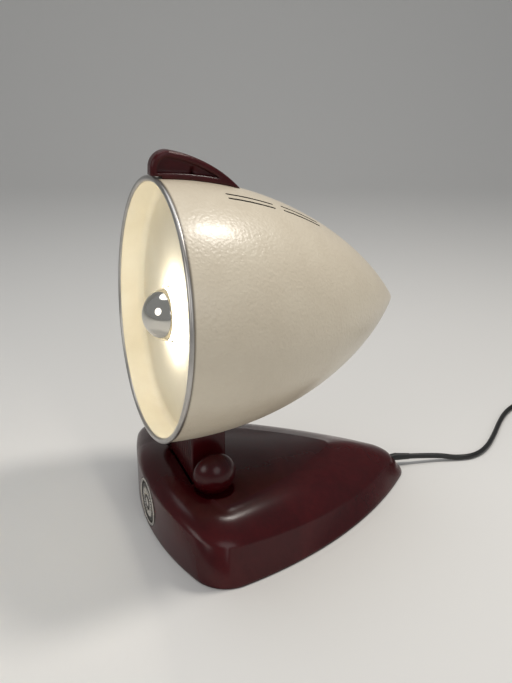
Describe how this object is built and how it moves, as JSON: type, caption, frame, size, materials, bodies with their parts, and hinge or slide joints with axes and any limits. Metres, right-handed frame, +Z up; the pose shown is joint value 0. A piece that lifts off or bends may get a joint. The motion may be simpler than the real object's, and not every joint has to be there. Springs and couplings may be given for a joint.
{
  "type": "sun lamp",
  "caption": "Table sun lamp: a bullet-shaped shade with a crown-silvered bulb on a fluted neck that tilts in a hollow foot, with clamp knobs, a carrying handle and a flex.",
  "frame": {"origin": "on the table plane, straight under the tilt axis and midway between the knobs", "axes": "+Z up, +Y to the rear where the flex leaves, +X to the lamp's left as seen from its front, along the tilt axis"},
  "size_m": [0.2036, 0.5127, 0.3013],
  "materials": {
    "bakelite": "polished dark maroon phenolic",
    "zinc_steel": "zinc-plated sheet",
    "felt": "dense pressed felt",
    "steel": "plain machined",
    "badge_brass": "worn pressed sheet",
    "fibre": "vulcanised fibre",
    "cord_rubber": "smooth black sheath",
    "porcelain": "glazed white ceramic",
    "brass": "plain",
    "enamel_outer": "cream hammered enamel",
    "ring_aluminium": "satin",
    "enamel_inner": "smooth cream enamel",
    "bulb_glass": "clear",
    "mirror_coat": "silvered",
    "black_glass": "vitrified black glass",
    "tie_strap": "flat flexible strap",
    "plug_plastic": "moulded black"
  },
  "bodies": {
    "base": {"base_shell": "bakelite", "bottom_plate": "zinc_steel", "bottom_pad": "felt", "bottom_plate_screws": "steel", "front_badge": "badge_brass", "badge_clip": "steel", "pivot_bolt": "steel", "friction_washers": "fibre", "knob_washers": "steel", "strain_relief": "cord_rubber", "cord_clamp": "fibre", "cord_clamp_screws": "steel", "terminal_block": "porcelain", "terminal_screws": "brass", "base_lead": "cord_rubber", "flex_lead": "cord_rubber", "cord_run": "cord_rubber", "cord_coil": "cord_rubber", "cord_tail": "cord_rubber", "cord_tie": "tie_strap", "plug_body": "plug_plastic", "plug_pins": "brass"},
    "head": {"shade": "enamel_outer", "mouth_ring": "ring_aluminium", "reflector": "enamel_inner", "lampholder_strap": "zinc_steel", "lampholder_screws": "steel", "lampholder_body": "porcelain", "lampholder_shell": "brass", "lampholder_contact": "brass", "handle": "bakelite", "handle_screws": "steel", "neck": "bakelite", "neck_saddle": "zinc_steel", "neck_screws": "steel", "spacer_tube": "steel", "head_lead": "cord_rubber"},
    "bulb": {"bulb_glass": "bulb_glass", "bulb_mirror": "mirror_coat", "bulb_stem": "bulb_glass", "bulb_filament": "steel", "bulb_cap": "brass", "bulb_insulator": "black_glass", "bulb_contact": "brass"},
    "right_knob": {"knob_right": "bakelite", "knob_insert_right": "brass"},
    "left_knob": {"knob_left": "bakelite", "knob_insert_left": "brass"}
  },
  "joints": [
    {"name": "head_tilt", "type": "hinge", "parent": "base", "child": "head", "pos_m": [0, 0, 0.0615], "axis": [1, 0, 0], "range_deg": [-35, 45], "deforming": ["flex_lead"]},
    {"name": "bulb_turn", "type": "hinge", "parent": "head", "child": "bulb", "pos_m": [0, -0.01878, 0.181], "axis": [0, 0.9969, -0.0785], "range_deg": [0, 1080]},
    {"name": "right_knob_turn", "type": "hinge", "parent": "base", "child": "right_knob", "pos_m": [0.04, 0, 0.0615], "axis": [1, 0, 0], "range_deg": [-20, 720]},
    {"name": "left_knob_turn", "type": "hinge", "parent": "base", "child": "left_knob", "pos_m": [-0.04, 0, 0.0615], "axis": [-1, 0, 0], "range_deg": [-20, 720]}
  ]
}
